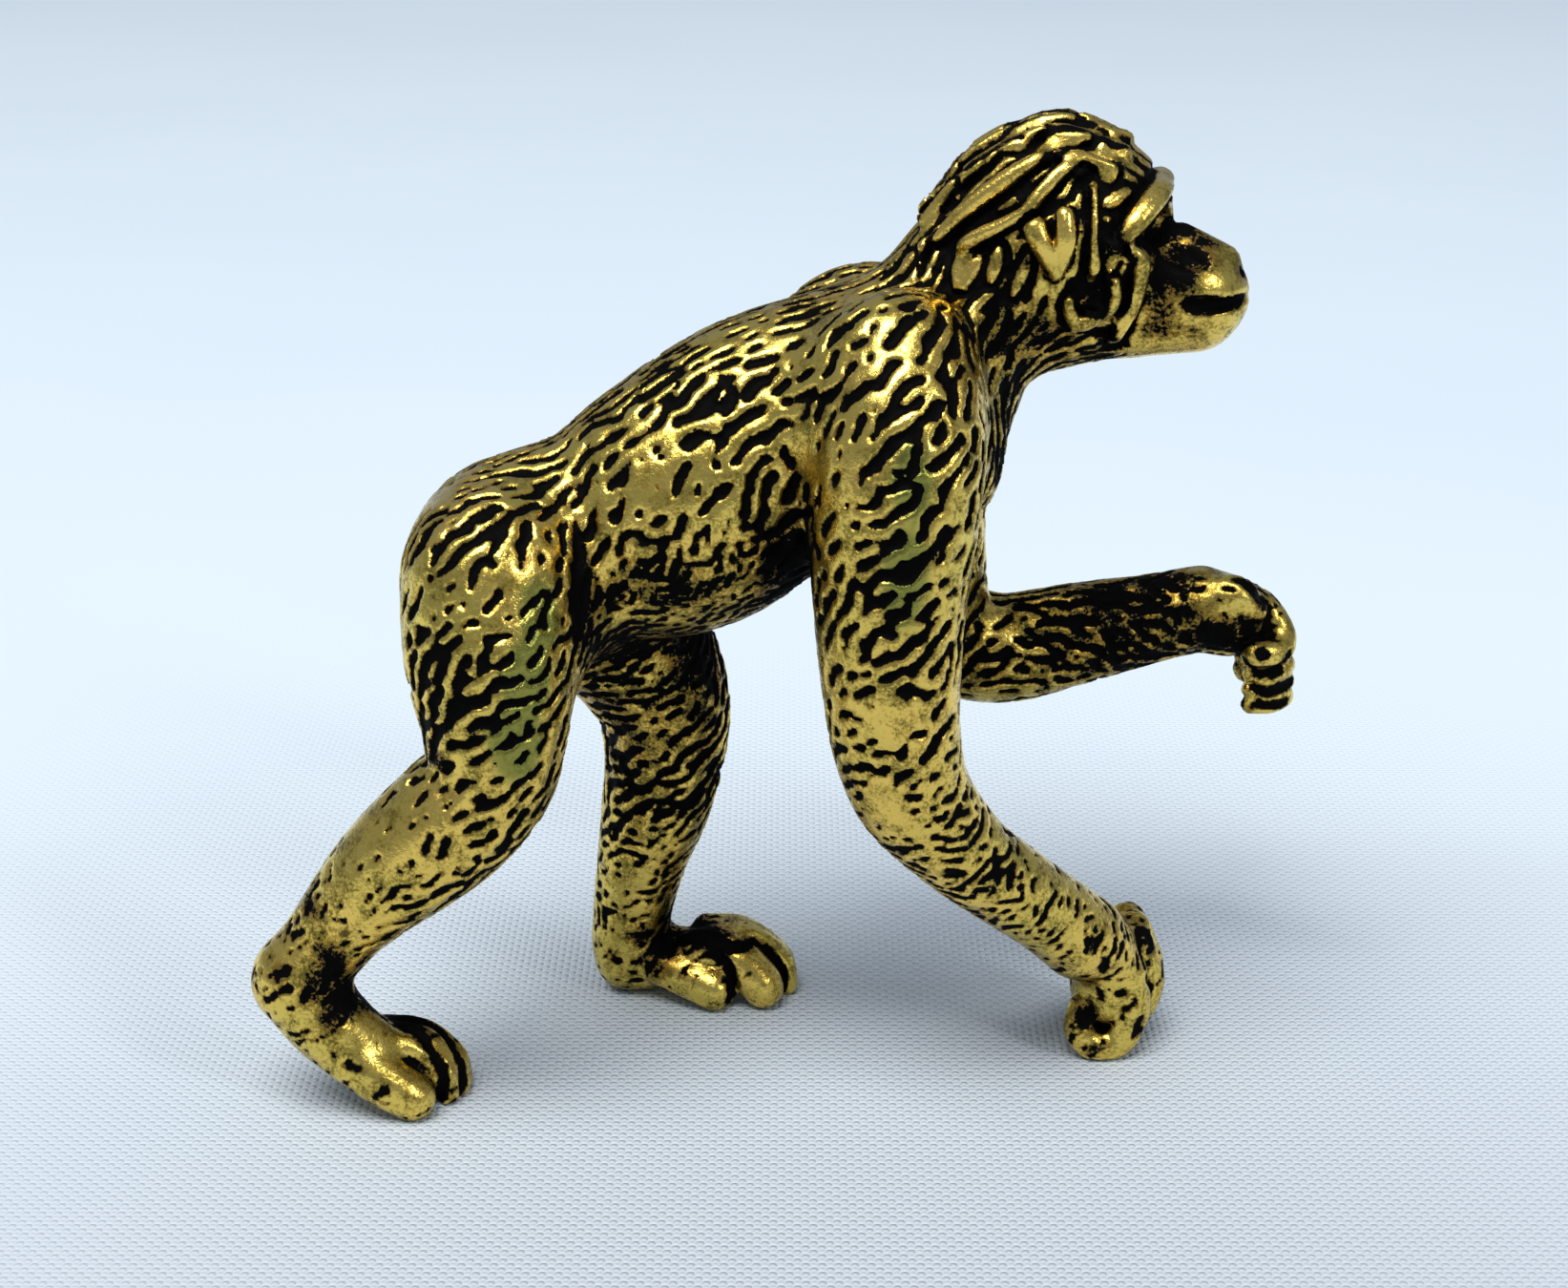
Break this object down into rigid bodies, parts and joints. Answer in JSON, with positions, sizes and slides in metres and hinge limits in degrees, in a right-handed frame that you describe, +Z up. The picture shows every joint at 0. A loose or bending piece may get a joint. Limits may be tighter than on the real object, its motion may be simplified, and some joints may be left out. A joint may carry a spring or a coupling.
{
  "type": "chimpanzee figurine",
  "caption": "Small solid cast brass figurine of a chimpanzee walking on its knuckles with one forearm lifted.",
  "frame": {"origin": "on the surface that it stands on, below the middle of its length and width", "axes": "+X the way it walks, +Y its left side, +Z up"},
  "size_m": [0.058, 0.024, 0.05],
  "materials": {
    "brass": "antiqued: polished high spots, black patina in the carved fur"
  },
  "bodies": {
    "root": {"chimpanzee_figurine": "brass"}
  },
  "joints": []
}
